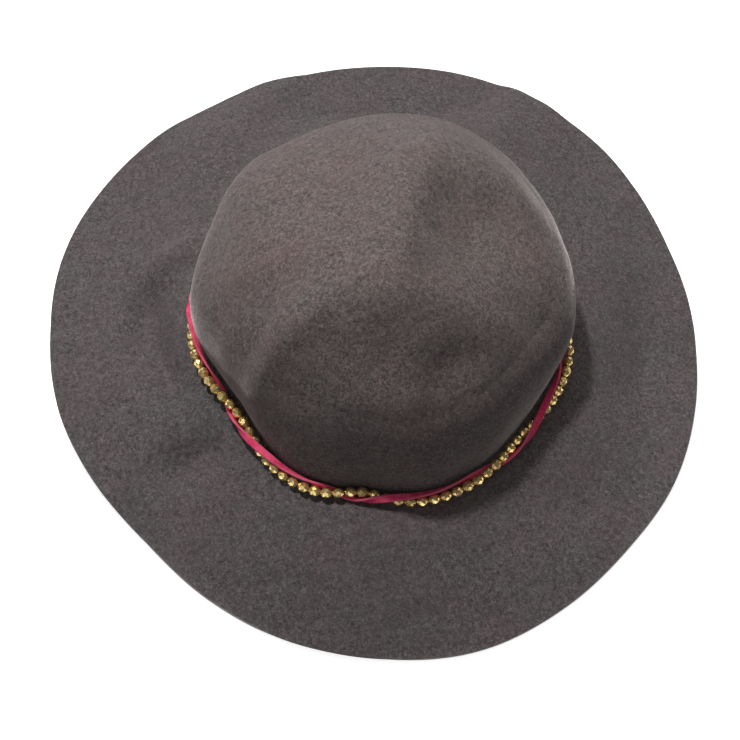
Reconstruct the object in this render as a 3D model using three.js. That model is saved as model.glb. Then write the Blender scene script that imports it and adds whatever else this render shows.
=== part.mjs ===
import * as THREE from 'three';

// A floppy hat of grey wool felt, lying brim down. Millimetres, +Z up, the floor at z = 0.
// The front of the hat is towards -Y. Bearings are degrees round the crown, from +X towards +Y.

// The crown's axis, seen from the middle of the whole hat
const AXIS_X = 4.89;
const AXIS_Y = -1.98;

// The felt
const FELT = 2.0;

// The crown, at its felt's middle: half its width and half its length at the foot, its height and how square it is
const HEAD_SIDE = 90.9;
const HEAD_FRONT = 98.7;
const CROWN_HEIGHT = 92.4;
const CROWN_SQUARENESS = 2.6;
const CROWN_SWELL = -0.014;
const CROWN_LEAN_X = 3.6;
const CROWN_LEAN_Y = -16.8;

// The foot of the crown: its height above the floor, and the bend between crown and brim
const FOOT_Z = 21;
const BEND = 5;

// Flats in the crown's wall: how far the felt is drawn in at the foot, over the band, and at mid height
const FLATS = [
  { bearing: 0, spread: 18, foot: 7.4, middle: -5.5 },
  { bearing: 35, spread: 16, foot: 3.7, middle: -2.6 },
  { bearing: 65, spread: 16, foot: 1.6, middle: -5.1 },
  { bearing: 90, spread: 16, foot: 2.4, middle: -5.5 },
  { bearing: 115, spread: 16, foot: 3.1, middle: -5.1 },
  { bearing: 145, spread: 16, foot: 12.3, middle: -5.6 },
  { bearing: 180, spread: 15, foot: 2.6, middle: -8.8 },
  { bearing: 217, spread: 14, foot: 9.8, middle: 3.2 },
  { bearing: 246, spread: 14, foot: 1.5, middle: 6.3 },
  { bearing: 265, spread: 8, foot: 4.3, middle: 4.4 },
  { bearing: 286, spread: 16, foot: 0.9, middle: 4.0 },
  { bearing: 318, spread: 16, foot: 4.8, middle: 3.6 },
  { bearing: 342, spread: 12, foot: -1.4, middle: -4.2 },
];

// Creases in the crown: a soft ridge from one plan point to the next, and the felt sunk on its right-hand side
const CREASES = [
  { fromX: 13, fromY: -21, toX: 21, toY: 14, sink: 9.8, round: 16, fade: 39, ends: 13 },
  { fromX: -21, fromY: -57, toX: 16, toY: -46, sink: 7.4, round: 21, fade: 25, ends: 23 },
  { fromX: -51, fromY: -65, toX: -21, toY: -45, sink: 3.0, round: 8, fade: 30, ends: 7 },
];

// Dents (+) and swells (-) in the crown: middle in plan, half length along a bearing, half width, and depth
const DENTS = [
  { x: 25, y: -2, bearing: 100, long: 18, wide: 26, depth: 8.1 },
  { x: -45, y: -28, bearing: 190, long: 26, wide: 9, depth: 3.1 },
  { x: -63, y: 32, bearing: 285, long: 45, wide: 21, depth: -10.3 },
  { x: 34, y: -72, bearing: -46, long: 12, wide: 18, depth: 9.0 },
  { x: -57, y: 19, bearing: 47, long: 52, wide: 33, depth: 15.3 },
  { x: 76, y: -31, bearing: 109, long: 26, wide: 20, depth: 10.9 },
  { x: -4, y: -78, bearing: 6, long: 18, wide: 12, depth: 5.5 },
  { x: 78, y: 37, bearing: 133, long: 38, wide: 8, depth: 3.0 },
  { x: 54, y: -65, bearing: 35, long: 31, wide: 9, depth: 3.8 },
  { x: 12, y: -4, bearing: 77, long: 36, wide: 18, depth: -15.5 },
  { x: -58, y: -47, bearing: 54, long: 11, wide: 7, depth: 4.4 },
];

// The brim's edge: distance from the crown's axis and height above the floor, every 15 degrees
const BRIM_EDGE = [
  { bearing: 0, reach: 158.9, lift: 2.7 },
  { bearing: 15, reach: 158.9, lift: 2.2 },
  { bearing: 30, reach: 162.2, lift: -4.7 },
  { bearing: 45, reach: 168.0, lift: -3.7 },
  { bearing: 60, reach: 171.8, lift: 5.0 },
  { bearing: 75, reach: 173.9, lift: -2.4 },
  { bearing: 90, reach: 173.3, lift: -4.0 },
  { bearing: 105, reach: 172.5, lift: -1.1 },
  { bearing: 120, reach: 170.4, lift: 5.1 },
  { bearing: 135, reach: 174.2, lift: 6.7 },
  { bearing: 150, reach: 174.4, lift: 5.1 },
  { bearing: 165, reach: 172.6, lift: 2.7 },
  { bearing: 180, reach: 167.6, lift: 5.5 },
  { bearing: 195, reach: 165.5, lift: 5.5 },
  { bearing: 210, reach: 161.5, lift: 4.3 },
  { bearing: 225, reach: 158.8, lift: 1.2 },
  { bearing: 240, reach: 162.3, lift: 0.4 },
  { bearing: 255, reach: 166.5, lift: -1.2 },
  { bearing: 270, reach: 169.1, lift: -2.2 },
  { bearing: 285, reach: 171.0, lift: 0.3 },
  { bearing: 300, reach: 167.6, lift: 0.3 },
  { bearing: 315, reach: 163.8, lift: -0.2 },
  { bearing: 330, reach: 163.2, lift: -2.5 },
  { bearing: 345, reach: 160.8, lift: -1.2 },
];

// How the brim's fall is shared out from crown to edge: 1 is an even slope, more is steeper at the edge
const BRIM_FALL = 1.25;

// Dips (-) and swells (+) in the brim: middle in plan, half length along a bearing, half width and height
const BRIM_FOLDS = [
  { x: -132, y: 88, bearing: 78, long: 32, wide: 18, height: -7.5 },
  { x: -109, y: 35, bearing: 211, long: 16, wide: 6, height: 5.9 },
  { x: -119, y: 9, bearing: 272, long: 20, wide: 8, height: -8.9 },
  { x: -89, y: -73, bearing: 214, long: 14, wide: 8, height: -8.5 },
  { x: 67, y: 134, bearing: 81, long: 20, wide: 7, height: 5.4 },
  { x: 134, y: 6, bearing: -1, long: 11, wide: 33, height: -6.8 },
  { x: 127, y: -34, bearing: 302, long: 17, wide: 24, height: -4.9 },
  { x: -15, y: -129, bearing: 263, long: 34, wide: 26, height: 7.2 },
  { x: -66, y: 144, bearing: 143, long: 13, wide: 34, height: 8.2 },
  { x: -86, y: -141, bearing: 145, long: 39, wide: 11, height: -1.4 },
  { x: 86, y: -93, bearing: 20, long: 38, wide: 15, height: -3.9 },
  { x: 142, y: 88, bearing: 110, long: 15, wide: 14, height: 6.3 },
  { x: -145, y: 10, bearing: 78, long: 22, wide: 8, height: -3.0 },
  { x: -9, y: 144, bearing: 3, long: 61, wide: 17, height: -8.8 },
  { x: -105, y: -25, bearing: 292, long: 18, wide: 7, height: -8.5 },
];

// How far above the floor the felt starts to flatten where it rests
const REST_EASE = 1.5;

// The band: its middle line out from the crown's felt and up from the brim's, the rise at which it meets the wall,
// and how often its strands cross over
const BAND_OUT = 4.95;
const BAND_RISE = 0.02;
const BAND_UP = 4.41;
const BAND_TURNS = 8;
const BAND_START = 218.3;
const BAND_START_ANGLE = 135;
const BAND_HURRY = 0.59;

// The turns come closer together four times round the hat, first at this bearing
const BAND_SWAYS = 4;
const BAND_SWAY = 0.39;
const BAND_SWAY_AT = 261.2;

// The beads and the thread they sit on
const BEADS = 108;
const BEAD_RADIUS = 2.45;
const BEAD_FILL = 0.72;
const THREAD_RADIUS = 0.6;
const BEAD_SIDES = 10;
const BEAD_OFFSET = 1.2;

// The suede lace
const LACE_WIDE = 3.6;
const LACE_THICK = 1.2;
const LACE_OFFSET = 2.4;
const LACE_STEPS = 120;

// How finely the felt is divided
const ROUND_STEPS = 56;
const OUTER_BRIM_STEPS = 8;
const INNER_BRIM_STEPS = 7;
const BEND_STEPS = 2;
const OUTER_CROWN_STEPS = 9;
const INNER_CROWN_STEPS = 7;

const TURN = 2 * Math.PI;
const radians = THREE.MathUtils.degToRad;

// Degrees from one bearing to another, the short way
function bearingGap(angle, bearing) {
  const gap = angle * 180 / Math.PI - bearing;
  return ((gap + 180) % 360 + 360) % 360 - 180;
}

function bell(x) {
  return Math.exp(-0.5 * x * x);
}

function ovalRadius(angle) {
  return 1 / Math.hypot(Math.cos(angle) / HEAD_SIDE, Math.sin(angle) / HEAD_FRONT);
}

// Radius of the crown's wall (rise 0 at the foot, 1 at the top)
function wallRadius(angle, rise) {
  const footShare = Math.pow(1 - rise, 4);
  const middleShare = 4 * rise * (1 - rise);
  let radius = ovalRadius(angle);
  for (const flat of FLATS) {
    const drawnIn = flat.foot * footShare + flat.middle * middleShare;
    radius -= drawnIn * bell(bearingGap(angle, flat.bearing) / flat.spread);
  }
  return radius;
}

// Smooth value from the brim table, for any bearing
function edgeValue(angle, column) {
  const count = BRIM_EDGE.length;
  const place = ((angle / TURN) % 1 + 1) % 1 * count;
  const row = Math.floor(place);
  const t = place - row;
  const value = (step) => BRIM_EDGE[(row + step + count) % count][column];
  const slopeHere = (value(1) - value(-1)) / 2;
  const slopeNext = (value(2) - value(0)) / 2;
  const rise = value(1) - value(0);
  return value(0) + t * (slopeHere + t * (3 * rise - 2 * slopeHere - slopeNext + t * (slopeHere + slopeNext - 2 * rise)));
}

// A long soft mound or dip, 1 at its middle
function patch(x, y, row) {
  const along = Math.cos(radians(row.bearing)) * (x - row.x) + Math.sin(radians(row.bearing)) * (y - row.y);
  const across = -Math.sin(radians(row.bearing)) * (x - row.x) + Math.cos(radians(row.bearing)) * (y - row.y);
  return bell(along / row.long) * bell(across / row.wide);
}

// How far one crease sinks the felt at a plan point: nothing to its left, most just to its right
function creaseSink(x, y, row) {
  const length = Math.hypot(row.toX - row.fromX, row.toY - row.fromY);
  const alongX = (row.toX - row.fromX) / length;
  const alongY = (row.toY - row.fromY) / length;
  const along = (x - row.fromX) * alongX + (y - row.fromY) * alongY;
  const side = (x - row.fromX) * alongY - (y - row.fromY) * alongX;
  const past = Math.max(-along, along - length, 0);
  const step = 1 / (1 + Math.exp(-4 * side / row.round));
  return row.sink * step * bell(Math.max(side, 0) / row.fade) * bell(past / row.ends);
}

function crownSink(x, y) {
  let sink = 0;
  for (const row of CREASES) {
    sink += creaseSink(x, y, row);
  }
  for (const row of DENTS) {
    sink += row.depth * patch(x, y, row);
  }
  return sink;
}

// Height of the felt's middle where it would dip through the floor: it lies flat there instead
function rested(height) {
  const above = height - FELT / 2;
  if (above <= 0) {
    return FELT / 2;
  }
  if (above < REST_EASE) {
    return FELT / 2 + above * above / (2 * REST_EASE);
  }
  return height - REST_EASE / 2;
}

// Middle of the brim's felt, from the edge (climb 0) to the bend (climb 1)
function brimPoint(angle, climb) {
  const out = 1 - climb;
  const inner = wallRadius(angle, 0) + BEND;
  const radius = inner + (edgeValue(angle, 'reach') - inner) * out;
  const x = radius * Math.cos(angle);
  const y = radius * Math.sin(angle);
  let height = FOOT_Z - (FOOT_Z - FELT / 2 - edgeValue(angle, 'lift')) * Math.pow(out, BRIM_FALL);
  const free = Math.min(1, out * 4);
  for (const row of BRIM_FOLDS) {
    height += free * row.height * patch(x, y, row);
  }
  return new THREE.Vector3(x, y, rested(height));
}

// Middle of the bend between brim (turn 0) and crown (turn 1)
function bendPoint(angle, turn) {
  const around = turn * Math.PI / 2;
  const radius = wallRadius(angle, 0) + BEND * (1 - Math.sin(around));
  return new THREE.Vector3(
    radius * Math.cos(angle),
    radius * Math.sin(angle),
    rested(FOOT_Z) + BEND * (1 - Math.cos(around)),
  );
}

// Middle of the smooth crown, from the bend (climb 0) to the top (climb 1)
function smoothCrownPoint(angle, climb) {
  const around = climb * Math.PI / 2;
  const power = 2 / CROWN_SQUARENESS;
  const rise = Math.pow(Math.sin(around), power);
  const shrink = Math.pow(Math.max(Math.cos(around), 0), power) * (1 + CROWN_SWELL * Math.sin(2 * around));
  const radius = wallRadius(angle, rise) * shrink;
  return new THREE.Vector3(
    CROWN_LEAN_X * rise + radius * Math.cos(angle),
    CROWN_LEAN_Y * rise + radius * Math.sin(angle),
    rested(FOOT_Z) + BEND + (CROWN_HEIGHT - BEND) * rise,
  );
}

// Outward direction of a surface that is given by a bearing and a second value, found from its two slopes
function outward(surface, angle, value) {
  const small = 0.004;
  const low = Math.max(value - small, 0);
  const high = Math.min(value + small, 1);
  const round = surface(angle + small, value).sub(surface(angle - small, value));
  const along = surface(angle, high).sub(surface(angle, low));
  return round.cross(along).normalize();
}

// Middle of the crown with its creases and dents
function crownPoint(angle, climb) {
  const smooth = smoothCrownPoint(angle, climb);
  if (climb > 0.999) {
    return smooth.add(new THREE.Vector3(0, 0, -crownSink(smooth.x, smooth.y)));
  }
  const sink = crownSink(smooth.x, smooth.y) * Math.min(1, climb * 3);
  return smooth.addScaledVector(outward(smoothCrownPoint, angle, climb), -sink);
}

// One face of the felt, half a wall away from the middle
function feltPoint(surface, angle, value, side) {
  const middle = surface(angle, value);
  const normal = surface === crownPoint && value > 0.999
    ? new THREE.Vector3(0, 0, 1)
    : outward(surface, angle, value);
  return middle.addScaledVector(normal, side * FELT / 2);
}

// The rings of one face, from the brim's edge up to just under the crown's top
function feltRings(side, brimSteps, crownSteps) {
  const stations = [];
  for (let i = 0; i < brimSteps; i += 1) {
    stations.push([brimPoint, 0.985 * i / brimSteps]);
  }
  for (let i = 0; i < BEND_STEPS; i += 1) {
    stations.push([bendPoint, (i + 0.5) / BEND_STEPS]);
  }
  for (let i = 0; i < crownSteps; i += 1) {
    stations.push([crownPoint, 0.02 + 0.93 * i / (crownSteps - 1)]);
  }
  return stations.map(([surface, value]) => {
    const ring = [];
    for (let i = 0; i < ROUND_STEPS; i += 1) {
      const point = feltPoint(surface, TURN * i / ROUND_STEPS, value, side);
      point.z = Math.max(point.z, 0);
      ring.push(point);
    }
    return ring;
  });
}

// A closed body from rings of points: each ring joined to the next, fans at both ends where a tip is given,
// or the last ring joined to the first where there is none
function bodyFromRings(rings, firstTip, lastTip) {
  const count = rings[0].length;
  const positions = [];
  const faces = [];
  for (const ring of rings) {
    for (const point of ring) {
      positions.push(point.x, point.y, point.z);
    }
  }
  const corner = (row, column) => (row % rings.length) * count + (column % count);
  const rows = firstTip ? rings.length - 1 : rings.length;
  for (let row = 0; row < rows; row += 1) {
    for (let column = 0; column < count; column += 1) {
      faces.push(corner(row, column), corner(row, column + 1), corner(row + 1, column + 1));
      faces.push(corner(row, column), corner(row + 1, column + 1), corner(row + 1, column));
    }
  }
  if (firstTip) {
    const first = positions.length / 3;
    positions.push(firstTip.x, firstTip.y, firstTip.z, lastTip.x, lastTip.y, lastTip.z);
    for (let column = 0; column < count; column += 1) {
      faces.push(first, corner(0, column + 1), corner(0, column));
      faces.push(first + 1, corner(rings.length - 1, column), corner(rings.length - 1, column + 1));
    }
  }
  const geometry = new THREE.BufferGeometry();
  geometry.setAttribute('position', new THREE.Float32BufferAttribute(positions, 3));
  geometry.setIndex(faces);
  geometry.computeVertexNormals();
  return geometry;
}

function feltGeometry() {
  const outer = feltRings(1, OUTER_BRIM_STEPS, OUTER_CROWN_STEPS);
  const inner = feltRings(-1, INNER_BRIM_STEPS, INNER_CROWN_STEPS);
  return bodyFromRings(
    [...inner.reverse(), ...outer],
    feltPoint(crownPoint, 0, 1, -1),
    feltPoint(crownPoint, 0, 1, 1),
  );
}

// The band's middle line, and the two directions across it: out from the crown and up
function bandFrame(angle) {
  const radius = wallRadius(angle, BAND_RISE) + FELT / 2 + BAND_OUT;
  const middle = new THREE.Vector3(
    radius * Math.cos(angle),
    radius * Math.sin(angle),
    rested(FOOT_Z) + FELT / 2 + BAND_UP,
  );
  const small = 0.002;
  const ahead = wallRadius(angle + small, BAND_RISE) + FELT / 2 + BAND_OUT;
  const behind = wallRadius(angle - small, BAND_RISE) + FELT / 2 + BAND_OUT;
  const along = new THREE.Vector3(
    ahead * Math.cos(angle + small) - behind * Math.cos(angle - small),
    ahead * Math.sin(angle + small) - behind * Math.sin(angle - small),
    0,
  ).normalize();
  const up = new THREE.Vector3(0, 0, 1);
  return { middle, along, out: along.clone().cross(up), up };
}

// Where the beads are round the band's middle line: they hurry over the crown's side of it
function twist(angle) {
  const sway = BAND_SWAY * Math.sin(BAND_SWAYS * (angle - radians(BAND_SWAY_AT)));
  const phase = BAND_TURNS * (angle - radians(BAND_START)) + sway;
  return radians(BAND_START_ANGLE) + phase + BAND_HURRY * Math.sin(phase);
}

// A point in the band's cross-section, at a distance from the middle line in the twist's direction, and sideways
function bandPoint(angle, away, sideways) {
  const { middle, out, up } = bandFrame(angle);
  const around = twist(angle);
  const outwards = out.clone().multiplyScalar(Math.cos(around)).addScaledVector(up, Math.sin(around));
  const across = out.clone().multiplyScalar(Math.sin(around)).addScaledVector(up, -Math.cos(around));
  return middle.addScaledVector(outwards, away).addScaledVector(across, sideways);
}

// Bearing at which the strands have turned round each other by a given share of their whole twist
function bearingOfTwist(share) {
  const wanted = twist(0) + TURN * BAND_TURNS * share;
  let low = 0;
  let high = TURN;
  for (let i = 0; i < 40; i += 1) {
    const middle = (low + high) / 2;
    if (twist(middle) < wanted) {
      low = middle;
    } else {
      high = middle;
    }
  }
  return (low + high) / 2;
}

function beadStringGeometry() {
  const sections = [
    { at: 0, radius: THREAD_RADIUS },
    { at: 0.5 - BEAD_FILL / 2, radius: BEAD_RADIUS },
    { at: 0.5 + BEAD_FILL / 2, radius: BEAD_RADIUS },
  ];
  const rings = [];
  for (let bead = 0; bead < BEADS; bead += 1) {
    for (const section of sections) {
      const angle = TURN * (bead + section.at) / BEADS;
      const { out, up } = bandFrame(angle);
      const ring = [];
      for (let i = 0; i < BEAD_SIDES; i += 1) {
        const around = TURN * i / BEAD_SIDES;
        const point = bandPoint(angle, BEAD_OFFSET, 0);
        point.addScaledVector(out, section.radius * Math.cos(around));
        point.addScaledVector(up, -section.radius * Math.sin(around));
        ring.push(point);
      }
      rings.push(ring);
    }
  }
  return bodyFromRings(rings);
}

function laceGeometry() {
  const near = -LACE_OFFSET + LACE_THICK / 2;
  const far = -LACE_OFFSET - LACE_THICK / 2;
  const edge = LACE_WIDE / 2;
  const section = [
    { away: near, sideways: -edge },
    { away: near, sideways: 0 },
    { away: near, sideways: edge },
    { away: far, sideways: edge },
    { away: far, sideways: 0 },
    { away: far, sideways: -edge },
  ];
  const rings = [];
  for (let step = 0; step < LACE_STEPS; step += 1) {
    const angle = bearingOfTwist(step / LACE_STEPS);
    rings.push(section.map((corner) => bandPoint(angle, corner.away, corner.sideways)));
  }
  return bodyFromRings(rings);
}

const FELT_GREY = new THREE.MeshStandardMaterial({ color: 0x5c5655, roughness: 0.95, metalness: 0 });
const BEAD_GOLD = new THREE.MeshStandardMaterial({ color: 0xb58b3c, roughness: 0.25, metalness: 1 });
const LACE_PINK = new THREE.MeshStandardMaterial({ color: 0xb23057, roughness: 0.9, metalness: 0 });

function named(name, geometry, material) {
  const mesh = new THREE.Mesh(geometry, material);
  mesh.name = name;
  mesh.position.set(AXIS_X, AXIS_Y, 0);
  return mesh;
}

const group = new THREE.Group();
group.add(
  named('felt_body', feltGeometry(), FELT_GREY),
  named('bead_string', beadStringGeometry(), BEAD_GOLD),
  named('suede_lace', laceGeometry(), LACE_PINK),
);

export default group;
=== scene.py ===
import math

import bmesh
import bpy
import numpy as np
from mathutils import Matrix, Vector, noise


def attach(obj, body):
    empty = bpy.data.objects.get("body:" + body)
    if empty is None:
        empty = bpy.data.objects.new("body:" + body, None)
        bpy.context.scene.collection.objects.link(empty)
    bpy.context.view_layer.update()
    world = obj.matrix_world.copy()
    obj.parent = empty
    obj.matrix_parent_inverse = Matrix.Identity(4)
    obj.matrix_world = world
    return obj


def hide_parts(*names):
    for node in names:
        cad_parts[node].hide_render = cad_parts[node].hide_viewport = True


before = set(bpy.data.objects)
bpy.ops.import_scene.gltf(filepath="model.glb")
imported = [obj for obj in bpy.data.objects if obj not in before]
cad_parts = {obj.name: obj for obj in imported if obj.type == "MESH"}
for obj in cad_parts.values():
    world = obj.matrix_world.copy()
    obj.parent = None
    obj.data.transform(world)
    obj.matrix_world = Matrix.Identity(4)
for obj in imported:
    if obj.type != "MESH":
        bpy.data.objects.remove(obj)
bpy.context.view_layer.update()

# Sizes are in millimetres and bearings in degrees round the crown, as in the part's source.
# Meshes are in metres.
MM = 0.001

# The crown's axis, seen from the middle of the whole hat
AXIS_X = 4.89
AXIS_Y = -1.98

# The felt, and how far the middle of its cut edge stands out
FELT = 2.0
CUT_EDGE_BULGE = 0.35

# The crown, at its felt's middle
HEAD_SIDE = 90.9
HEAD_FRONT = 98.7
CROWN_HEIGHT = 92.4
CROWN_SQUARENESS = 2.6
CROWN_SWELL = -0.014
CROWN_LEAN_X = 3.6
CROWN_LEAN_Y = -16.8

# The foot of the crown and the bend into the brim
FOOT_Z = 21
BEND = 5

# Flats in the crown's wall: how far the felt is drawn in (+) or pushed out (-) at the foot and at mid height
FLATS = [
    {"bearing": 0, "spread": 18, "foot": 7.4, "middle": -5.5},
    {"bearing": 35, "spread": 16, "foot": 3.7, "middle": -2.6},
    {"bearing": 65, "spread": 16, "foot": 1.6, "middle": -5.1},
    {"bearing": 90, "spread": 16, "foot": 2.4, "middle": -5.5},
    {"bearing": 115, "spread": 16, "foot": 3.1, "middle": -5.1},
    {"bearing": 145, "spread": 16, "foot": 12.3, "middle": -5.6},
    {"bearing": 180, "spread": 15, "foot": 2.6, "middle": -8.8},
    {"bearing": 217, "spread": 14, "foot": 9.8, "middle": 3.2},
    {"bearing": 246, "spread": 14, "foot": 1.5, "middle": 6.3},
    {"bearing": 265, "spread": 8, "foot": 4.3, "middle": 4.4},
    {"bearing": 286, "spread": 16, "foot": 0.9, "middle": 4.0},
    {"bearing": 318, "spread": 16, "foot": 4.8, "middle": 3.6},
    {"bearing": 342, "spread": 12, "foot": -1.4, "middle": -4.2},
]

# Creases in the crown, with the felt sunk on the right-hand side of the line from start to end
CREASES = [
    {"from_x": 13, "from_y": -21, "to_x": 21, "to_y": 14, "sink": 9.8, "round": 16, "fade": 39, "ends": 13},
    {"from_x": -21, "from_y": -57, "to_x": 16, "to_y": -46, "sink": 7.4, "round": 21, "fade": 25, "ends": 23},
    {"from_x": -51, "from_y": -65, "to_x": -21, "to_y": -45, "sink": 3.0, "round": 8, "fade": 30, "ends": 7},
]

# Dents (+) and swells (-) in the crown
DENTS = [
    {"x": 25, "y": -2, "bearing": 100, "long": 18, "wide": 26, "depth": 8.1},
    {"x": -45, "y": -28, "bearing": 190, "long": 26, "wide": 9, "depth": 3.1},
    {"x": -63, "y": 32, "bearing": 285, "long": 45, "wide": 21, "depth": -10.3},
    {"x": 34, "y": -72, "bearing": -46, "long": 12, "wide": 18, "depth": 9.0},
    {"x": -57, "y": 19, "bearing": 47, "long": 52, "wide": 33, "depth": 15.3},
    {"x": 76, "y": -31, "bearing": 109, "long": 26, "wide": 20, "depth": 10.9},
    {"x": -4, "y": -78, "bearing": 6, "long": 18, "wide": 12, "depth": 5.5},
    {"x": 78, "y": 37, "bearing": 133, "long": 38, "wide": 8, "depth": 3.0},
    {"x": 54, "y": -65, "bearing": 35, "long": 31, "wide": 9, "depth": 3.8},
    {"x": 12, "y": -4, "bearing": 77, "long": 36, "wide": 18, "depth": -15.5},
    {"x": -58, "y": -47, "bearing": 54, "long": 11, "wide": 7, "depth": 4.4},
]

# The brim's edge, every 15 degrees
BRIM_EDGE = [
    {"bearing": 0, "reach": 158.9, "lift": 2.7},
    {"bearing": 15, "reach": 158.9, "lift": 2.2},
    {"bearing": 30, "reach": 162.2, "lift": -4.7},
    {"bearing": 45, "reach": 168.0, "lift": -3.7},
    {"bearing": 60, "reach": 171.8, "lift": 5.0},
    {"bearing": 75, "reach": 173.9, "lift": -2.4},
    {"bearing": 90, "reach": 173.3, "lift": -4.0},
    {"bearing": 105, "reach": 172.5, "lift": -1.1},
    {"bearing": 120, "reach": 170.4, "lift": 5.1},
    {"bearing": 135, "reach": 174.2, "lift": 6.7},
    {"bearing": 150, "reach": 174.4, "lift": 5.1},
    {"bearing": 165, "reach": 172.6, "lift": 2.7},
    {"bearing": 180, "reach": 167.6, "lift": 5.5},
    {"bearing": 195, "reach": 165.5, "lift": 5.5},
    {"bearing": 210, "reach": 161.5, "lift": 4.3},
    {"bearing": 225, "reach": 158.8, "lift": 1.2},
    {"bearing": 240, "reach": 162.3, "lift": 0.4},
    {"bearing": 255, "reach": 166.5, "lift": -1.2},
    {"bearing": 270, "reach": 169.1, "lift": -2.2},
    {"bearing": 285, "reach": 171.0, "lift": 0.3},
    {"bearing": 300, "reach": 167.6, "lift": 0.3},
    {"bearing": 315, "reach": 163.8, "lift": -0.2},
    {"bearing": 330, "reach": 163.2, "lift": -2.5},
    {"bearing": 345, "reach": 160.8, "lift": -1.2},
]
BRIM_FALL = 1.25

# Dips and swells in the brim
BRIM_FOLDS = [
    {"x": -132, "y": 88, "bearing": 78, "long": 32, "wide": 18, "height": -7.5},
    {"x": -109, "y": 35, "bearing": 211, "long": 16, "wide": 6, "height": 5.9},
    {"x": -119, "y": 9, "bearing": 272, "long": 20, "wide": 8, "height": -8.9},
    {"x": -89, "y": -73, "bearing": 214, "long": 14, "wide": 8, "height": -8.5},
    {"x": 67, "y": 134, "bearing": 81, "long": 20, "wide": 7, "height": 5.4},
    {"x": 134, "y": 6, "bearing": -1, "long": 11, "wide": 33, "height": -6.8},
    {"x": 127, "y": -34, "bearing": 302, "long": 17, "wide": 24, "height": -4.9},
    {"x": -15, "y": -129, "bearing": 263, "long": 34, "wide": 26, "height": 7.2},
    {"x": -66, "y": 144, "bearing": 143, "long": 13, "wide": 34, "height": 8.2},
    {"x": -86, "y": -141, "bearing": 145, "long": 39, "wide": 11, "height": -1.4},
    {"x": 86, "y": -93, "bearing": 20, "long": 38, "wide": 15, "height": -3.9},
    {"x": 142, "y": 88, "bearing": 110, "long": 15, "wide": 14, "height": 6.3},
    {"x": -145, "y": 10, "bearing": 78, "long": 22, "wide": 8, "height": -3.0},
    {"x": -9, "y": 144, "bearing": 3, "long": 61, "wide": 17, "height": -8.8},
    {"x": -105, "y": -25, "bearing": 292, "long": 18, "wide": 7, "height": -8.5},
]
REST_EASE = 1.5

# The dents grow to full depth over the lowest third of the climb up the crown, and the folds to full height
# over the first quarter of the way out along the brim
DENT_ONSET = 3
FOLD_ONSET = 4

# Slow uneven waves and small soft dimples, as hand-blocked felt has, full only this far above the floor
WAVES = [
    {"height": 0.9, "size": 46, "seed": 1, "octaves": 2},
    {"height": 0.35, "size": 13, "seed": 2, "octaves": 3},
]
WAVES_FULL_AT = 3

# The band's middle line and its twist
BAND_OUT = 4.95
BAND_RISE = 0.02
BAND_UP = 4.41
BAND_TURNS = 8
BAND_START = 218.3
BAND_START_ANGLE = 135
BAND_HURRY = 0.59

# The turns come closer together four times round the hat, first at this bearing
BAND_SWAYS = 4
BAND_SWAY = 0.39
BAND_SWAY_AT = 261.2

# Beads, thread and lace
BEADS = 108
BEAD_RADIUS = 2.6
BEAD_LENGTH = 5.5
BEAD_OFFSET = 1.2
BEAD_SIDES = 8
BEAD_SIZE_SPREAD = 0.08
BEAD_SEED = 3
THREAD_RADIUS = 0.55
THREAD_SIDES = 8
LACE_WIDE = 3.6
LACE_THICK = 1.2
LACE_OFFSET = 2.4
LACE_CORNER = 0.35

# Small changes of the lace's width and a slight hollow across it, as whole numbers of waves round the hat
LACE_WOBBLES = [
    {"height": 0.18, "waves": 37, "start": 0.0},
    {"height": 0.12, "waves": 61, "start": 1.0},
]
LACE_WOBBLE_SHARE = 0.05
LACE_HOLLOW = {"height": 0.12, "waves": 23, "start": 0.5}

# Loose hair: how many hairs stand on a square metre, and what share of them on each part of the felt
HAIR_DENSITY = 80000.0
HAIR_ON_CROWN = 1.6
HAIR_ON_BRIM = 0.8
HAIR_INSIDE = 0.12

# The hairs' lengths in metres, their lift off the felt in radians, and their thickness as a share
# of their length
HAIR_SHORTEST = 0.0012
HAIR_LONGEST = 0.0032
HAIR_LEAST_LIFT = -0.1
HAIR_MOST_LIFT = -1.1
HAIR_THICK = 0.018
HAIR_SEED = 5

# The crown's look (its warmer colour with painted extra light, and its denser hair) begins this far above its
# foot and is full this much higher
CROWN_LOOK_FROM = 4
CROWN_LOOK_OVER = 10

# How finely the felt, the thread and the lace are divided, and where the felt's rows begin and end
ROUND_STEPS = 288
BRIM_STEPS = 48
BEND_STEPS = 10
CROWN_STEPS = 80
BRIM_CLIMB_END = 0.99
CROWN_CLIMB_START = 0.01
CROWN_CLIMB_LENGTH = 0.985
CROWN_CLIMB_POWER = 0.9
THREAD_STEPS_PER_BEAD = 6
LACE_STEPS = 900

# The camera: its distance in metres, the point that it looks at in millimetres, and its focal length
# in points of a picture that is 740 points wide
CAMERA_ELEVATION = 62
CAMERA_DISTANCE = 0.735
CAMERA_AIM = (AXIS_X - 6.0, AXIS_Y - 29.5, 19.6)
SENSOR_WIDE = 36
PICTURE_WIDE = 740
FOCAL_LENGTH = 1500

# The studio, in metres and watts
FLOOR_HALF = 3.0
FLOOR_DROP = 0.0004
LIT_POINT = (0.0, 0.0, 0.04)
LIGHTS = [
    {"name": "key_light", "bearing": 126, "elevation": 68, "distance": 1.8, "size": 0.14, "power": 21.5},
    {"name": "back_window", "bearing": 95, "elevation": 40, "distance": 2.4, "size": 2.0, "power": 22.0},
    {"name": "side_window", "bearing": 45, "elevation": 40, "distance": 2.4, "size": 2.0, "power": 7.0},
    {"name": "front_fill", "bearing": 240, "elevation": 40, "distance": 2.4, "size": 2.0, "power": 8.0},
]
WORLD_STRENGTH = 0.095

TURN = 2 * math.pi


# The felt's form, the same rules as in the part's source


def bell(x):
    return np.exp(-0.5 * x * x)


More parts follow.
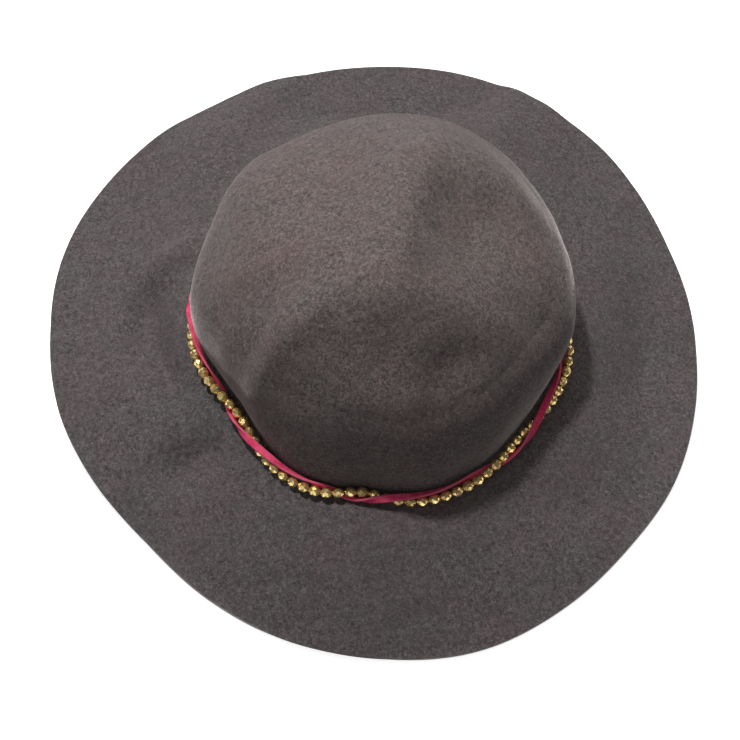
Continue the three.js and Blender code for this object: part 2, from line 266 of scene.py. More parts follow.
def bearing_gap(angle, bearing):
    return (np.degrees(angle) - bearing + 180) % 360 - 180


def wall_radius(angle, rise):
    radius = 1 / np.hypot(np.cos(angle) / HEAD_SIDE, np.sin(angle) / HEAD_FRONT)
    foot_share = (1 - rise) ** 4
    middle_share = 4 * rise * (1 - rise)
    for flat in FLATS:
        drawn_in = flat["foot"] * foot_share + flat["middle"] * middle_share
        radius = radius - drawn_in * bell(bearing_gap(angle, flat["bearing"]) / flat["spread"])
    return radius


def edge_value(angle, column):
    values = np.array([row[column] for row in BRIM_EDGE], float)
    count = len(values)
    place = (angle / TURN) % 1 * count
    row = np.floor(place).astype(int)
    t = place - row
    before, here, after, later = (values[(row + step) % count] for step in (-1, 0, 1, 2))
    slope_here = (after - before) / 2
    slope_next = (later - here) / 2
    rise = after - here
    bend = 3 * rise - 2 * slope_here - slope_next
    return here + t * (slope_here + t * (bend + t * (slope_here + slope_next - 2 * rise)))


def patch(x, y, row):
    bearing = math.radians(row["bearing"])
    along = math.cos(bearing) * (x - row["x"]) + math.sin(bearing) * (y - row["y"])
    across = -math.sin(bearing) * (x - row["x"]) + math.cos(bearing) * (y - row["y"])
    return bell(along / row["long"]) * bell(across / row["wide"])


def crease_sink(x, y, row):
    length = math.hypot(row["to_x"] - row["from_x"], row["to_y"] - row["from_y"])
    along_x = (row["to_x"] - row["from_x"]) / length
    along_y = (row["to_y"] - row["from_y"]) / length
    along = (x - row["from_x"]) * along_x + (y - row["from_y"]) * along_y
    side = (x - row["from_x"]) * along_y - (y - row["from_y"]) * along_x
    past = np.maximum(np.maximum(-along, along - length), 0)
    step = 1 / (1 + np.exp(-4 * side / row["round"]))
    return row["sink"] * step * bell(np.maximum(side, 0) / row["fade"]) * bell(past / row["ends"])


def crown_sink(x, y):
    sink = np.zeros_like(x)
    for row in CREASES:
        sink = sink + crease_sink(x, y, row)
    for row in DENTS:
        sink = sink + row["depth"] * patch(x, y, row)
    return sink


def rested(height):
    above = height - FELT / 2
    eased = FELT / 2 + above * above / (2 * REST_EASE)
    lifted = np.where(above < REST_EASE, eased, height - REST_EASE / 2)
    return np.where(above <= 0, FELT / 2, lifted)


def brim_points(angle, climb):
    out = 1 - climb
    inner = wall_radius(angle, 0) + BEND
    radius = inner + (edge_value(angle, "reach") - inner) * out
    x = radius * np.cos(angle)
    y = radius * np.sin(angle)
    height = FOOT_Z - (FOOT_Z - FELT / 2 - edge_value(angle, "lift")) * out**BRIM_FALL
    free = np.minimum(1, out * FOLD_ONSET)
    for row in BRIM_FOLDS:
        height = height + free * row["height"] * patch(x, y, row)
    return np.stack([x, y, rested(height)], -1)


def bend_points(angle, turn):
    around = turn * math.pi / 2
    radius = wall_radius(angle, 0) + BEND * (1 - np.sin(around))
    height = rested(np.full_like(radius, FOOT_Z)) + BEND * (1 - np.cos(around))
    return np.stack([radius * np.cos(angle), radius * np.sin(angle), height], -1)


def smooth_crown_points(angle, climb):
    around = climb * math.pi / 2
    power = 2 / CROWN_SQUARENESS
    rise = np.sin(around) ** power
    shrink = np.maximum(np.cos(around), 0) ** power * (1 + CROWN_SWELL * np.sin(2 * around))
    radius = wall_radius(angle, rise) * shrink
    x = CROWN_LEAN_X * rise + radius * np.cos(angle)
    y = CROWN_LEAN_Y * rise + radius * np.sin(angle)
    foot = rested(np.full_like(radius, FOOT_Z))
    return np.stack([x, y, foot + BEND + (CROWN_HEIGHT - BEND) * rise], -1)


def grid_normals(points):
    around = np.roll(points, -1, 1) - np.roll(points, 1, 1)
    along = np.gradient(points, axis=0)
    normals = np.cross(around, along)
    return normals / np.maximum(np.linalg.norm(normals, axis=2, keepdims=True), 1e-9)


# Meshes


def add_object(name, data):
    thing = bpy.data.objects.new(name, data)
    bpy.context.scene.collection.objects.link(thing)
    return thing


def mesh_object(name, vertices, faces, material, smooth=True):
    mesh = bpy.data.meshes.new(name)
    mesh.from_pydata([tuple(v) for v in np.asarray(vertices) * MM], [], faces)
    mesh.validate()
    mesh.materials.append(material)
    mesh.polygons.foreach_set("use_smooth", [smooth] * len(mesh.polygons))
    mesh.update()
    return add_object(name, mesh)


def float_attribute(thing, name, values):
    attribute = thing.data.attributes.new(name, "FLOAT", "POINT")
    attribute.data.foreach_set("value", np.asarray(values, dtype=np.float32))


def noise_field(points, wave):
    shift = Vector((wave["seed"] * 17.3, wave["seed"] * 5.1, wave["seed"] * 9.7))
    places = [Vector(point) / wave["size"] + shift for point in points]
    basis = "PERLIN_ORIGINAL"
    return np.array([noise.fractal(place, 1.0, 2.0, wave["octaves"], noise_basis=basis) for place in places])


def felt_body(material):
    angles = np.arange(ROUND_STEPS) * TURN / ROUND_STEPS
    brim_climbs = np.linspace(0, BRIM_CLIMB_END, BRIM_STEPS)
    bend_turns = (np.arange(BEND_STEPS) + 0.5) / BEND_STEPS
    crown_shares = np.linspace(0, 1, CROWN_STEPS) ** CROWN_CLIMB_POWER
    crown_climbs = CROWN_CLIMB_START + CROWN_CLIMB_LENGTH * crown_shares
    rows = [brim_points(angles, np.full_like(angles, climb)) for climb in brim_climbs]
    rows += [bend_points(angles, np.full_like(angles, turn)) for turn in bend_turns]
    crown = np.array([smooth_crown_points(angles, np.full_like(angles, climb)) for climb in crown_climbs])
    sink = crown_sink(crown[..., 0], crown[..., 1]) * np.minimum(1, crown_climbs * DENT_ONSET)[:, None]
    crown = crown - grid_normals(crown) * sink[..., None]
    middle = np.concatenate([np.array(rows), crown])
    normals = grid_normals(middle)
    row_count, column_count = middle.shape[:2]

    points = middle.reshape(-1, 3)
    waves = sum(wave["height"] * noise_field(points, wave) for wave in WAVES).reshape(row_count, column_count)
    share = np.clip((middle[..., 2] - FELT / 2) / WAVES_FULL_AT, 0, 1)
    middle = middle + normals * (waves * share)[..., None]
    normals = grid_normals(middle)

    outer = middle + normals * FELT / 2
    inner = middle - normals * FELT / 2
    inner[..., 2] = np.maximum(inner[..., 2], 0)
    outward = middle[0] - middle[1]
    outward = outward / np.linalg.norm(outward, axis=1, keepdims=True)
    edge_low = inner[0] + outward * CUT_EDGE_BULGE
    edge_high = outer[0] + outward * CUT_EDGE_BULGE
    rings = [row + np.array([AXIS_X, AXIS_Y, 0]) for row in [*inner[::-1], edge_low, edge_high, *outer]]
    vertices = np.concatenate(rings)
    count = len(rings)
    faces = []
    for row in range(count - 1):
        for column in range(column_count):
            after = (column + 1) % column_count
            faces.append(
                (
                    row * column_count + column,
                    row * column_count + after,
                    (row + 1) * column_count + after,
                    (row + 1) * column_count + column,
                )
            )
    tips = np.array([rings[0].mean(0), rings[-1].mean(0)])
    first = len(vertices)
    vertices = np.concatenate([vertices, tips])
    for column in range(column_count):
        after = (column + 1) % column_count
        top = (count - 1) * column_count
        faces.append((first, after, column))
        faces.append((first + 1, top + column, top + after))
    thing = mesh_object("felt_hat", vertices, faces, material)
    # The rings of the cut edge, which the felt's finish paints lighter as painted light
    edge = np.zeros(len(vertices))
    edge[row_count * column_count : (row_count + 2) * column_count] = 1
    float_attribute(thing, "cut_edge", edge)
    on_crown = np.clip((vertices[:, 2] - FOOT_Z - CROWN_LOOK_FROM) / CROWN_LOOK_OVER, 0, 1)
    float_attribute(thing, "crown", on_crown)
    outside = slice((row_count + 2) * column_count, -2)
    hair = np.full(len(vertices), HAIR_INSIDE)
    hair[outside] = HAIR_ON_BRIM + on_crown[outside] * (HAIR_ON_CROWN - HAIR_ON_BRIM)
    float_attribute(thing, "hair_share", hair)
    return thing


def band_frames(angle):
    def middle_of(a):
        radius = wall_radius(a, BAND_RISE) + FELT / 2 + BAND_OUT
        height = rested(np.full_like(a, FOOT_Z)) + FELT / 2 + BAND_UP
        return np.stack([radius * np.cos(a), radius * np.sin(a), height], -1)

    nudge = 0.002
    along = middle_of(angle + nudge) - middle_of(angle - nudge)
    along = along / np.linalg.norm(along, axis=-1, keepdims=True)
    up = np.zeros_like(along)
    up[..., 2] = 1
    return middle_of(angle), np.cross(along, up), up


def twist(angle):
    sway = BAND_SWAY * np.sin(BAND_SWAYS * (angle - math.radians(BAND_SWAY_AT)))
    phase = BAND_TURNS * (angle - math.radians(BAND_START)) + sway
    return math.radians(BAND_START_ANGLE) + phase + BAND_HURRY * np.sin(phase)


def band_points(angle, away, sideways):
    middle, out, up = band_frames(angle)
    around = twist(angle)[..., None]
    outwards = out * np.cos(around) + up * np.sin(around)
    across = out * np.sin(around) - up * np.cos(around)
    return middle + outwards * away + across * sideways + np.array([AXIS_X, AXIS_Y, 0])


def closed_tube(name, rings, material, smooth=True):
    rings = np.asarray(rings)
    rows, columns = rings.shape[:2]
    faces = []
    for row in range(rows):
        for column in range(columns):
            after = (column + 1) % columns
            here = row * columns
            ahead = (row + 1) % rows * columns
            faces.append((here + column, here + after, ahead + after, ahead + column))
    return mesh_object(name, rings.reshape(-1, 3), faces, material, smooth)


def wave_round(angles, wave):
    return wave["height"] * np.sin(angles * wave["waves"] + wave["start"])


def lace_loop(material):
    # The lace's outline in section: four rounded corners, with extra points along its two wide faces
    angles = np.arange(LACE_STEPS) * TURN / LACE_STEPS
    half_wide = LACE_WIDE / 2
    half_thick = LACE_THICK / 2
    corners = []
    for across_sign, away_sign, start in ((1, 1, 0), (1, -1, -90), (-1, -1, -180), (-1, 1, -270)):
        for step in (0, 45, 90):
            turn = math.radians(90 + start - step)
            corners.append(
                (
                    across_sign * (half_wide - LACE_CORNER) + LACE_CORNER * math.cos(turn),
                    away_sign * (half_thick - LACE_CORNER) + LACE_CORNER * math.sin(turn),
                )
            )
    spots = []
    for index, (across, away) in enumerate(corners):
        spots.append((across, away))
        next_across, next_away = corners[(index + 1) % len(corners)]
        if abs(next_across - across) > half_wide:
            for share in (0.25, 0.5, 0.75):
                spots.append((across + (next_across - across) * share, away + (next_away - away) * share))
    wobble = sum(wave_round(angles, wave) for wave in LACE_WOBBLES)
    hollow = wave_round(angles, LACE_HOLLOW)
    rings = []
    for across, away in spots:
        width = across * (1 + LACE_WOBBLE_SHARE * wobble)
        bow = hollow * (1 - (across / half_wide) ** 2)
        rings.append(band_points(angles, (-LACE_OFFSET + away + bow)[:, None], width[:, None]))
    rings = np.stack(rings, 1)
    thing = closed_tube("pink_lace", rings, material)
    edge = np.array([abs(across) / half_wide for across, away in spots])
    float_attribute(thing, "lace_edge", np.tile(edge, LACE_STEPS))
    return thing


def bead_mesh(material):
    # One bead lying along X: five rings of corners, every second one turned by half a facet, and flat ends
    rings = [
        {"at": -0.50, "radius": 0.45, "turned": 0.0},
        {"at": -0.25, "radius": 0.93, "turned": 0.5},
        {"at": 0.00, "radius": 1.00, "turned": 0.0},
        {"at": 0.25, "radius": 0.93, "turned": 0.5},
        {"at": 0.50, "radius": 0.45, "turned": 0.0},
    ]
    vertices = []
    for ring in rings:
        for side in range(BEAD_SIDES):
            around = TURN * (side + ring["turned"]) / BEAD_SIDES
            away = BEAD_RADIUS * ring["radius"]
            vertices.append((BEAD_LENGTH * ring["at"], away * math.cos(around), away * math.sin(around)))
    faces = []
    for row in range(len(rings) - 1):
        shift = 0 if rings[row]["turned"] == 0 else 1
        for side in range(BEAD_SIDES):
            here = row * BEAD_SIDES + side
            here_next = row * BEAD_SIDES + (side + 1) % BEAD_SIDES
            above = (row + 1) * BEAD_SIDES + (side + shift) % BEAD_SIDES
            above_before = (row + 1) * BEAD_SIDES + (side + shift - 1) % BEAD_SIDES
            faces.append((here, above, above_before))
            faces.append((here, here_next, above))
    faces.append(tuple(range(BEAD_SIDES)))
    faces.append(tuple(reversed(range((len(rings) - 1) * BEAD_SIDES, len(rings) * BEAD_SIDES))))
    thing = mesh_object("bead_pattern", vertices, faces, material, smooth=False)
    make_faces_point_out(thing.data)
    return thing


def make_faces_point_out(mesh):
    work = bmesh.new()
    work.from_mesh(mesh)
    bmesh.ops.recalc_face_normals(work, faces=work.faces)
    work.to_mesh(mesh)
    work.free()


def fibre_mesh(material):
    # One short curled hair lying along X, one unit long, three-sided
    spine = [
        {"x": 0.0, "y": 0.0, "z": -0.02, "thick": 1.0},
        {"x": 0.5, "y": 0.07, "z": 0.09, "thick": 0.9},
        {"x": 1.0, "y": -0.08, "z": 0.10, "thick": 0.25},
    ]
    vertices = []
    for spot in spine:
        size = HAIR_THICK * spot["thick"]
        for side in range(3):
            around = TURN * side / 3
            y = spot["y"] + size * math.cos(around)
            z = spot["z"] + size * math.sin(around)
            vertices.append((spot["x"] / MM, y / MM, z / MM))
    faces = []
    for row in range(len(spine) - 1):
        for side in range(3):
            after = (side + 1) % 3
            faces.append((row * 3 + side, row * 3 + after, (row + 1) * 3 + after, (row + 1) * 3 + side))
    faces.append((2, 1, 0))
    last = (len(spine) - 1) * 3
    faces.append((last, last + 1, last + 2))
    thing = mesh_object("fibre_pattern", vertices, faces, material)
    make_faces_point_out(thing.data)
    return thing


# Geometry Nodes


class Tree:
    """A Geometry Nodes tree with named inputs."""

    def __init__(self, name):
        self.tree = bpy.data.node_groups.new(name, "GeometryNodeTree")
        self.sockets = {}
        self.tree.interface.new_socket("Geometry", in_out="OUTPUT", socket_type="NodeSocketGeometry")
        self.tree.interface.new_socket("Geometry", in_out="INPUT", socket_type="NodeSocketGeometry")

    def input(self, name, kind):
        self.sockets[name] = self.tree.interface.new_socket(name, in_out="INPUT", socket_type=kind)

    def start(self):
        self.inputs = self.tree.nodes.new("NodeGroupInput")
        self.outputs = self.tree.nodes.new("NodeGroupOutput")
        return self.inputs.outputs

    def node(self, kind, settings=None, **values):
        made = self.tree.nodes.new(kind)
        for key, value in (settings or {}).items():
            setattr(made, key, value)
        for key, value in values.items():
            socket = self.socket(made, key)
            if isinstance(value, bpy.types.NodeSocket):
                self.tree.links.new(value, socket)
            else:
                socket.default_value = value
        return made

    def socket(self, made, key):
        wanted = key.replace("_", " ").lower()
        for socket in made.inputs:
            if socket.name.lower() == wanted and socket.enabled:
                return socket
        raise KeyError(f"{made.bl_idname} has no input {key}")

    def end(self, geometry):
        self.tree.links.new(geometry, self.outputs.inputs[0])

    def apply(self, host, name, values):
        """The tree's result on host, as a plain mesh object of its own."""
        modifier = host.modifiers.new(name, "NODES")
        modifier.node_group = self.tree
        for key, value in values.items():
            modifier[self.sockets[key].identifier] = value
        bpy.context.view_layer.update()
        graph = bpy.context.evaluated_depsgraph_get()
        mesh = bpy.data.meshes.new_from_object(host.evaluated_get(graph), depsgraph=graph)
        host.modifiers.remove(modifier)
        mesh.name = name
        return add_object(name, mesh)

    def random(self, low, high, seed):
        made = self.node("FunctionNodeRandomValue", {"data_type": "FLOAT"}, Min=low, Max=high, Seed=seed)
        return made.outputs[1]

    def turned(self, rotation, by):
        made = self.node(
            "FunctionNodeRotateRotation", {"rotation_space": "LOCAL"}, Rotation=rotation, Rotate_By=by
        )
        return made.outputs["Rotation"]

    def planted(self, points, pattern, rotation, scale, finish):
        """The pattern object's mesh on every point, as real geometry with the finish."""
        info = self.node("GeometryNodeObjectInfo", Object=pattern)
        copies = self.node(
            "GeometryNodeInstanceOnPoints",
            Points=points,
            Instance=info.outputs["Geometry"],
            Rotation=rotation,
            Scale=scale,
        )
        real = self.node("GeometryNodeRealizeInstances", Geometry=copies.outputs["Instances"])
        finished = self.node("GeometryNodeSetMaterial", Geometry=real.outputs["Geometry"], Material=finish)
        return finished.outputs["Geometry"]


def bead_tree():
    tree = Tree("beads on a thread")
    tree.input("Bead Count", "NodeSocketInt")
    tree.input("Bead", "NodeSocketObject")
    tree.input("Size Spread", "NodeSocketFloat")
    tree.input("Seed", "NodeSocketInt")
    tree.input("Finish", "NodeSocketMaterial")
    given = tree.start()
    thread = tree.node("GeometryNodeMeshToCurve", Mesh=given["Geometry"])
    evenly = tree.node("GeometryNodeResampleCurve", Curve=thread.outputs["Curve"], Count=given["Bead Count"])
    tangent = tree.node("GeometryNodeInputTangent").outputs["Tangent"]
    lined_up = tree.node(
        "FunctionNodeAlignRotationToVector", {"axis": "X", "pivot_axis": "AUTO"}, Vector=tangent
    )
    spin = tree.node("ShaderNodeCombineXYZ", X=tree.random(0.0, TURN, given["Seed"]))
    spun = tree.turned(lined_up.outputs["Rotation"], spin.outputs["Vector"])
    smallest = tree.node("ShaderNodeMath", {"operation": "SUBTRACT"})
    smallest.inputs[0].default_value = 1.0
    tree.tree.links.new(given["Size Spread"], smallest.inputs[1])
    size = tree.random(smallest.outputs[0], 1.0, given["Seed"])
    tree.end(tree.planted(evenly.outputs["Curve"], given["Bead"], spun, size, given["Finish"]))
    return tree


def fibre_tree():
    tree = Tree("hair on felt")
    tree.input("Fibre", "NodeSocketObject")
    tree.input("Density", "NodeSocketFloat")
    tree.input("Shortest", "NodeSocketFloat")
    tree.input("Longest", "NodeSocketFloat")
    tree.input("Least Lift", "NodeSocketFloat")
    tree.input("Most Lift", "NodeSocketFloat")
    tree.input("Seed", "NodeSocketInt")
    tree.input("Finish", "NodeSocketMaterial")
    given = tree.start()
    share = tree.node("GeometryNodeInputNamedAttribute", {"data_type": "FLOAT"}, Name="hair_share")
    density = tree.node("ShaderNodeMath", {"operation": "MULTIPLY"})
    tree.tree.links.new(given["Density"], density.inputs[0])
    tree.tree.links.new(share.outputs[0], density.inputs[1])
    spots = tree.node(
        "GeometryNodeDistributePointsOnFaces",
        Mesh=given["Geometry"],
        Density=density.outputs[0],
        Seed=given["Seed"],
    )
    heading = tree.node("ShaderNodeCombineXYZ", Z=tree.random(0.0, TURN, given["Seed"]))
    lift = tree.node(
        "ShaderNodeCombineXYZ", Y=tree.random(given["Least Lift"], given["Most Lift"], given["Seed"])
    )
    length = tree.random(given["Shortest"], given["Longest"], given["Seed"])
    headed = tree.turned(spots.outputs["Rotation"], heading.outputs["Vector"])
    lifted = tree.turned(headed, lift.outputs["Vector"])
    tree.end(tree.planted(spots.outputs["Points"], given["Fibre"], lifted, length, given["Finish"]))
    return tree


# Shader nodes


class Value:
    """A shader socket that can be used in Python sums."""

    def __init__(self, finish, socket):
        self.finish = finish
        self.socket = socket

    def sum(self, operation, left, right):
        return self.finish.node("ShaderNodeMath", {"operation": operation}, left, right)

    def __add__(self, other):
        return self.sum("ADD", self, other)

    def __sub__(self, other):
        return self.sum("SUBTRACT", self, other)

    def __mul__(self, other):
        return self.sum("MULTIPLY", self, other)


def opaque(colour):
    return (*colour, 1) if isinstance(colour, tuple) else colour


class Finish:
    """A material, its Principled shader, and one method that adds any node."""

    def __init__(self, name):
        self.material = bpy.data.materials.new(name)
        self.material.use_nodes = True
        self.nodes = self.material.node_tree.nodes
        self.links = self.material.node_tree.links
        self.shader = self.nodes["Principled BSDF"]
        self.place = self.node("ShaderNodeTexCoord", out="Object")

    def node(self, kind, settings=None, *inputs, out=0, **named):
        made = self.nodes.new(kind)
        for key, value in (settings or {}).items():
            if key == "stops":
                ramp = made.color_ramp
                while len(ramp.elements) < len(value):
                    ramp.elements.new(0.5)
                for element, (position, colour) in zip(ramp.elements, value):
                    element.position = position
                    element.color = opaque(colour if isinstance(colour, tuple) else (colour, colour, colour))
            else:
                setattr(made, key, value)
        for index, value in enumerate(inputs):
            self.put(made.inputs[index], value)
        for key, value in named.items():
            self.put(made.inputs[key.replace("_", " ")], value)
        return Value(self, made.outputs[out])

    def put(self, socket, value):
        if isinstance(value, Value):
            self.links.new(value.socket, socket)
        elif value is not None:
            socket.default_value = value

    def set(self, **named):
        for key, value in named.items():
            self.put(self.shader.inputs[key.replace("_", " ")], value)

    def noise(self, size, detail=3.0, rough=0.55, place=None, distortion=0.0):
        """Noise from 0 to 1 whose marks are about size millimetres across."""
        return self.node(
            "ShaderNodeTexNoise",
            Vector=place or self.place,
            Scale=1 / (size * MM),
            Detail=detail,
            Roughness=rough,
            Distortion=distortion,
        )

    def threads(self, size, seed):
        """Thin curled lines, 1 on each line and 0 between: where a noise crosses its middle value."""
        shift = seed * MM
        place = self.node("ShaderNodeMapping", Vector=self.place, Location=(shift, shift, shift))
        crossing = self.noise(size, 2, 0.5, place, 0.8) - 0.5
        return self.ramp(self.sum("ABSOLUTE", crossing), [(0.012, 1.0), (0.035, 0.0)])

    def sum(self, operation, value):
        return self.node("ShaderNodeMath", {"operation": operation}, value)

    def ramp(self, value, stops):
        return self.node("ShaderNodeValToRGB", {"stops": stops}, value)

    def mix(self, factor, low, high, blend="MIX"):
        made = self.nodes.new("ShaderNodeMix")
        made.data_type = "RGBA"
        made.blend_type = blend
        self.put(made.inputs["Factor"], factor)
        self.put(made.inputs[6], opaque(low))
        self.put(made.inputs[7], opaque(high))
        return Value(self, made.outputs[2])

    def tint(self, colour, by):
        """The colour multiplied by another one."""
        return self.mix(1.0, colour, by, "MULTIPLY")

    def bump(self, height, distance, strength=1.0, below=None):
        return self.node(
            "ShaderNodeBump", Height=height, Distance=distance * MM, Strength=strength, Normal=below
        )


def felt_finish():
    finish = Finish("heather felt")
    specks = finish.noise(0.95, 3, 0.62)
    grains = finish.noise(2.1, 3, 0.6)
    tufts = finish.noise(6.0, 3, 0.6)
    clouds = finish.noise(38, 2, 0.5)
    hairs = [finish.threads(size, seed) for size, seed in ((2.6, 0.0), (3.4, 7.0), (2.0, 13.0))]
    mottled = finish.ramp(
        specks * 0.5 + grains * 0.5,
        [(0.36, (0.048, 0.040, 0.039)), (0.50, (0.101, 0.084, 0.083)), (0.63, (0.174, 0.147, 0.145))],
    )
    tuft = finish.ramp(tufts, [(0.38, 0.0), (0.66, 1.0)])
    tufted = finish.mix(tuft, mottled, finish.mix(0.35, mottled, (0.135, 0.111, 0.109)))
    hairy = finish.mix(hairs[0] * 0.45, tufted, (0.26, 0.225, 0.218))
    hairy = finish.mix(hairs[1] * 0.35, hairy, (0.030, 0.024, 0.023))
    warm = finish.ramp(clouds, [(0.40, 0.0), (0.62, 1.0)])
    colour = finish.mix(warm * 0.5, hairy, finish.mix(0.35, hairy, (0.130, 0.100, 0.094)))
    crown = finish.node("ShaderNodeAttribute", {"attribute_name": "crown"}, out="Fac")
    # The brim is darkened and cooled and the crown lightened and warmed: the warmer hue is the felt's own,
    # the brightness difference is painted light, the crown painted as lit more than the brim
    cool_brim_painted_shade = finish.tint(colour, (0.86, 0.885, 0.91))
    on_crown = finish.tint(colour, (1.14, 1.09, 1.08))
    drift = finish.noise(9, 3, 0.6) * 0.5 + finish.noise(30, 2, 0.5) * 0.5
    casts = finish.ramp(drift, [(0.38, (0.960, 1.022, 1.010)), (0.62, (1.042, 0.976, 0.996))])
    colour = finish.tint(finish.mix(crown, cool_brim_painted_shade, on_crown), casts)
    # The cut edge is painted much lighter: painted light that lifts the shade which darkens the brim's edge
    edge = finish.node("ShaderNodeAttribute", {"attribute_name": "cut_edge"}, out="Fac")
    finish.set(Base_Color=finish.mix(edge * 0.9, colour, (0.42, 0.37, 0.36)))
    finish.set(Roughness=finish.ramp(specks, [(0.3, 0.98), (0.7, 0.86)]))
    low = finish.bump(tufts, 0.45, 0.6)
    fine = finish.bump(specks * 0.5 + grains * 0.5, 0.34, 0.9, low)
    finish.set(Normal=finish.bump(hairs[0] + hairs[2], 0.05, 0.5, fine))
    finish.set(Sheen_Weight=0.85, Sheen_Roughness=0.3, Sheen_Tint=(1.0, 0.90, 0.88, 1))
    finish.set(Specular_IOR_Level=0.2)
    return finish.material


def fuzz_finish():
    finish = Finish("loose felt hair")
    tone = finish.noise(4.0, 2, 0.6)
    # The hairs run from dark to pale: the pale tone is partly the felt's own light fibres and partly painted
    # light, a brighter fuzzy rim where the hairs stand out along the silhouettes
    finish.set(
        Base_Color=finish.ramp(
            tone, [(0.36, (0.070, 0.062, 0.060)), (0.55, (0.19, 0.17, 0.165)), (0.70, (0.40, 0.37, 0.355))]
        ),
        Roughness=finish.ramp(tone, [(0.3, 0.8), (0.7, 0.6)]),
    )
    return finish.material


def bead_finish():
    finish = Finish("antique gold bead")
    wear = finish.noise(1.6, 3, 0.6)
    tint = finish.noise(6.5, 1, 0.5)
    gold = finish.mix(finish.ramp(tint, [(0.35, 0.0), (0.65, 1.0)]), (0.93, 0.72, 0.27), (0.98, 0.68, 0.31))
    finish.set(
        Base_Color=finish.mix(finish.ramp(wear, [(0.52, 0.0), (0.72, 0.6)]), gold, (0.24, 0.16, 0.04)),
        Metallic=0.85,
        Roughness=finish.ramp(wear, [(0.35, 0.15), (0.7, 0.36)]),
        Normal=finish.bump(finish.noise(0.9, 2, 0.5), 0.03, 0.4),
    )
    return finish.material


def thread_finish():
    finish = Finish("dark thread")
    ply = finish.noise(0.6, 2, 0.6)
    finish.set(
        Base_Color=finish.ramp(ply, [(0.35, (0.020, 0.014, 0.008)), (0.65, (0.075, 0.055, 0.030))]),
        Roughness=0.8,
        Normal=finish.bump(ply, 0.1, 0.6),
    )
    return finish.material


def lace_finish():
    finish = Finish("pink suede")
    nap = finish.noise(1.0, 4, 0.7)
    patches = finish.noise(7.0, 2, 0.5)
    face = finish.mix(
        finish.ramp(nap, [(0.34, 0.0), (0.66, 1.0)]), (0.60, 0.026, 0.095), (0.90, 0.075, 0.185)
    )
    brushed = finish.mix(finish.ramp(patches, [(0.42, 0.0), (0.62, 0.55)]), face, (0.95, 0.125, 0.250))
    edge = finish.node("ShaderNodeAttribute", {"attribute_name": "lace_edge"}, out="Fac")
    cut = finish.ramp(edge, [(0.84, 0.0), (0.93, 1.0)])
    finish.set(
        Base_Color=finish.mix(cut * 0.6, brushed, (0.66, 0.15, 0.22)),
        Roughness=finish.ramp(nap, [(0.3, 0.95), (0.7, 0.8)]),
        Normal=finish.bump(nap, 0.12, 0.8),
        Sheen_Weight=0.12,
        Sheen_Roughness=0.4,
        Sheen_Tint=(1.0, 0.45, 0.6, 1),
        Specular_IOR_Level=0.2,
    )
    return finish.material


def floor_finish():
    finish = Finish("pale floor")
    grain = finish.noise(60, 2, 0.5)
    finish.set(
        Base_Color=finish.ramp(grain, [(0.3, (0.90, 0.90, 0.90)), (0.7, (0.92, 0.92, 0.92))]),
        Roughness=0.9,
        Specular_IOR_Level=0.0,
        Emission_Color=(1, 1, 1, 1),
        Emission_Strength=0.8,
    )
    return finish.material


def aim(thing, target):
    direction = Vector(target) - thing.location
    thing.rotation_euler = direction.to_track_quat("-Z", "Y").to_euler()


def area_light(row):
    data = bpy.data.lights.new(row["name"], "AREA")
    data.shape = "DISK"
    data.size = row["size"]
    data.energy = row["power"]
    light = add_object(row["name"], data)
    around = math.radians(row["bearing"])
    above = math.radians(row["elevation"])
    light.location = (
        LIT_POINT[0] + row["distance"] * math.cos(above) * math.cos(around),
        LIT_POINT[1] + row["distance"] * math.cos(above) * math.sin(around),
        LIT_POINT[2] + row["distance"] * math.sin(above),
    )
    aim(light, LIT_POINT)


def studio():
    mesh = bpy.data.meshes.new("floor")
    corners = [(FLOOR_HALF * x, FLOOR_HALF * y, 0) for x, y in ((-1, -1), (1, -1), (1, 1), (-1, 1))]
    mesh.from_pydata(corners, [], [(0, 1, 2, 3)])
    mesh.materials.append(floor_finish())
    floor = add_object("floor", mesh)
    floor.location.z = -FLOOR_DROP
    floor.visible_diffuse = False

    for row in LIGHTS:
        area_light(row)

    world = bpy.data.worlds.new("studio")
    bpy.context.scene.world = world
    world.use_nodes = True
    background = world.node_tree.nodes["Background"]
    background.inputs["Color"].default_value = (1, 1, 1, 1)
    background.inputs["Strength"].default_value = WORLD_STRENGTH

    look = bpy.context.scene.view_settings
    look.view_transform = "Standard"
    look.look = "None"


def camera():
    elevation = math.radians(CAMERA_ELEVATION)
    target = Vector(CAMERA_AIM) * MM
    data = bpy.data.cameras.new("camera")
    data.sensor_width = SENSOR_WIDE
    data.lens = FOCAL_LENGTH / PICTURE_WIDE * SENSOR_WIDE
    data.clip_start = 0.01
    view = add_object("camera", data)
    view.location = target + Vector((0, -math.cos(elevation), math.sin(elevation))) * CAMERA_DISTANCE
    aim(view, target)
    bpy.context.scene.camera = view


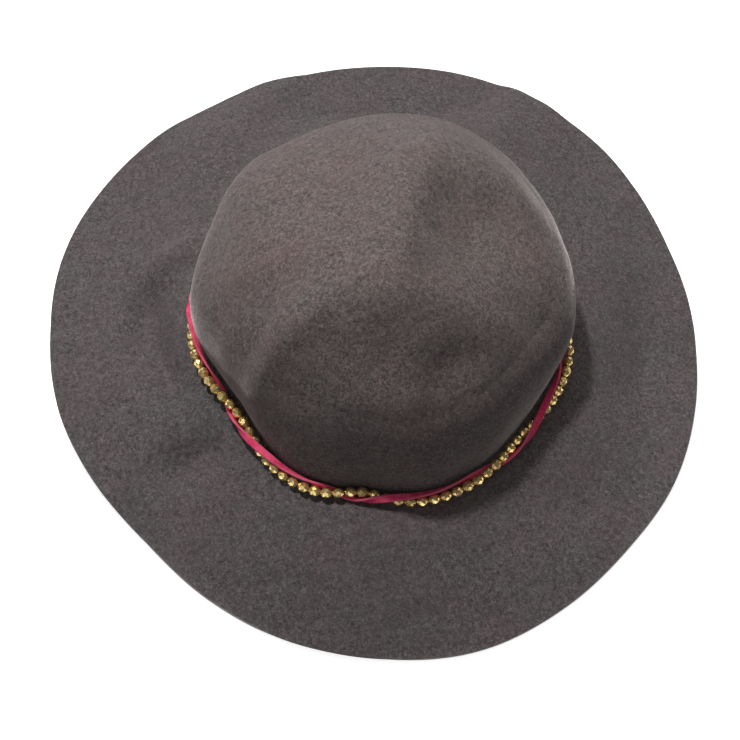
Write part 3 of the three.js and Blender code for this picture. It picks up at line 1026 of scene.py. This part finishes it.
def thread_path():
    count = BEADS * THREAD_STEPS_PER_BEAD
    angles = np.arange(count) * TURN / count
    points = band_points(angles, np.full((count, 1), BEAD_OFFSET), np.zeros((count, 1)))
    mesh = bpy.data.meshes.new("thread_path")
    mesh.from_pydata([tuple(p) for p in points * MM], [(i, (i + 1) % count) for i in range(count)], [])
    return add_object("thread_path", mesh), points


def thread_loop(points, material):
    count = len(points)
    ahead = np.roll(points, -1, 0) - np.roll(points, 1, 0)
    ahead = ahead / np.linalg.norm(ahead, axis=1, keepdims=True)
    up = np.tile(np.array([0.0, 0.0, 1.0]), (count, 1))
    out = np.cross(ahead, up)
    out = out / np.linalg.norm(out, axis=1, keepdims=True)
    rise = np.cross(out, ahead)
    rings = []
    for side in range(THREAD_SIDES):
        around = TURN * side / THREAD_SIDES
        rings.append(points + THREAD_RADIUS * (out * math.cos(around) - rise * math.sin(around)))
    return closed_tube("thread", np.stack(rings, 1), material)


def drop(thing):
    bpy.data.objects.remove(thing, do_unlink=True)


def main():
    camera()
    studio()

    hat = felt_body(felt_finish())
    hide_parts("felt_body")
    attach(hat, "root")

    fuzz = fuzz_finish()
    fibre = fibre_mesh(fuzz)
    hair = fibre_tree().apply(
        hat,
        "felt_hair",
        {
            "Fibre": fibre,
            "Density": HAIR_DENSITY,
            "Shortest": HAIR_SHORTEST,
            "Longest": HAIR_LONGEST,
            "Least Lift": HAIR_LEAST_LIFT,
            "Most Lift": HAIR_MOST_LIFT,
            "Seed": HAIR_SEED,
            "Finish": fuzz,
        },
    )
    drop(fibre)
    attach(hair, "root")

    path, points = thread_path()
    gold = bead_finish()
    pattern = bead_mesh(gold)
    beads = bead_tree().apply(
        path,
        "gold_beads",
        {
            "Bead Count": BEADS,
            "Bead": pattern,
            "Size Spread": BEAD_SIZE_SPREAD,
            "Seed": BEAD_SEED,
            "Finish": gold,
        },
    )
    drop(pattern)
    drop(path)
    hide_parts("bead_string")
    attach(beads, "root")

    thread = thread_loop(points, thread_finish())
    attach(thread, "root")

    lace = lace_loop(lace_finish())
    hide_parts("suede_lace")
    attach(lace, "root")


main()
